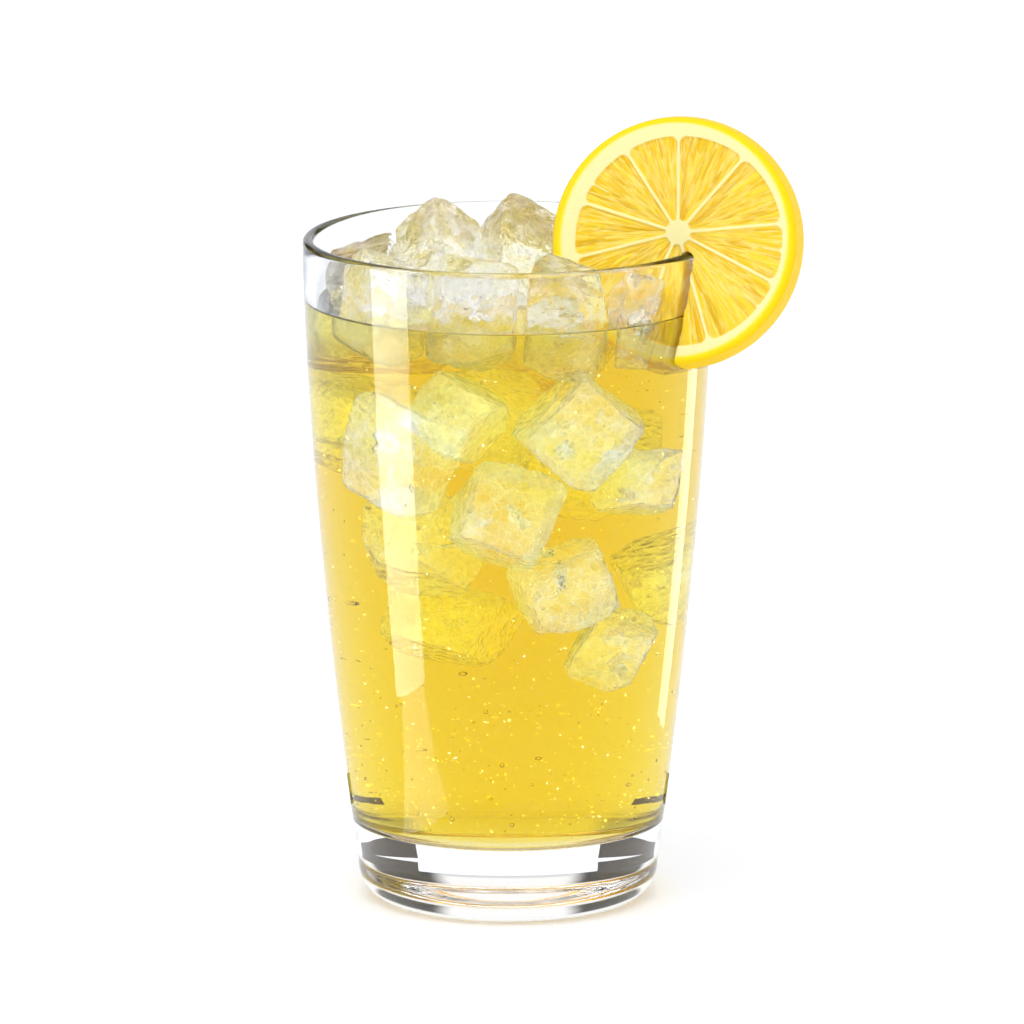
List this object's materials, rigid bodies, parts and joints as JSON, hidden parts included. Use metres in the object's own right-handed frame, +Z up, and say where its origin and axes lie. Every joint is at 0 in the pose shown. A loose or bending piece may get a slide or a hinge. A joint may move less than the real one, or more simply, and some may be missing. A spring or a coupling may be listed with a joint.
{
  "type": "glass of lemonade",
  "caption": "Tall clear tumbler of iced lemonade, the ice heaped up to the brim, with a slit lemon wheel hooked over the rim.",
  "frame": {"origin": "middle of the tumbler's flat underside, on its axis", "axes": "+Z up along the tumbler's axis, -Y towards the front, from where the lemon wheel shows its face, +X towards the side with the lemon wheel"},
  "size_m": [0.1068, 0.088, 0.1719],
  "materials": {
    "clear_glass": "clear, polished",
    "lemonade": "clear yellow drink with bubbles and pulp",
    "ice": "wet, cloudy inside",
    "lemon": "moist flesh, pale pith and waxy yellow peel"
  },
  "bodies": {
    "root": {"tumbler": "clear_glass", "lemonade": "lemonade", "ice_front_left": "ice", "ice_front_middle": "ice", "ice_front_right": "ice", "ice_by_slice": "ice", "ice_left": "ice", "ice_peak_left": "ice", "ice_peak_middle": "ice", "ice_right": "ice", "ice_back_left": "ice", "ice_back_middle": "ice", "ice_back_right": "ice", "lemon_slice": "lemon"}
  },
  "joints": []
}
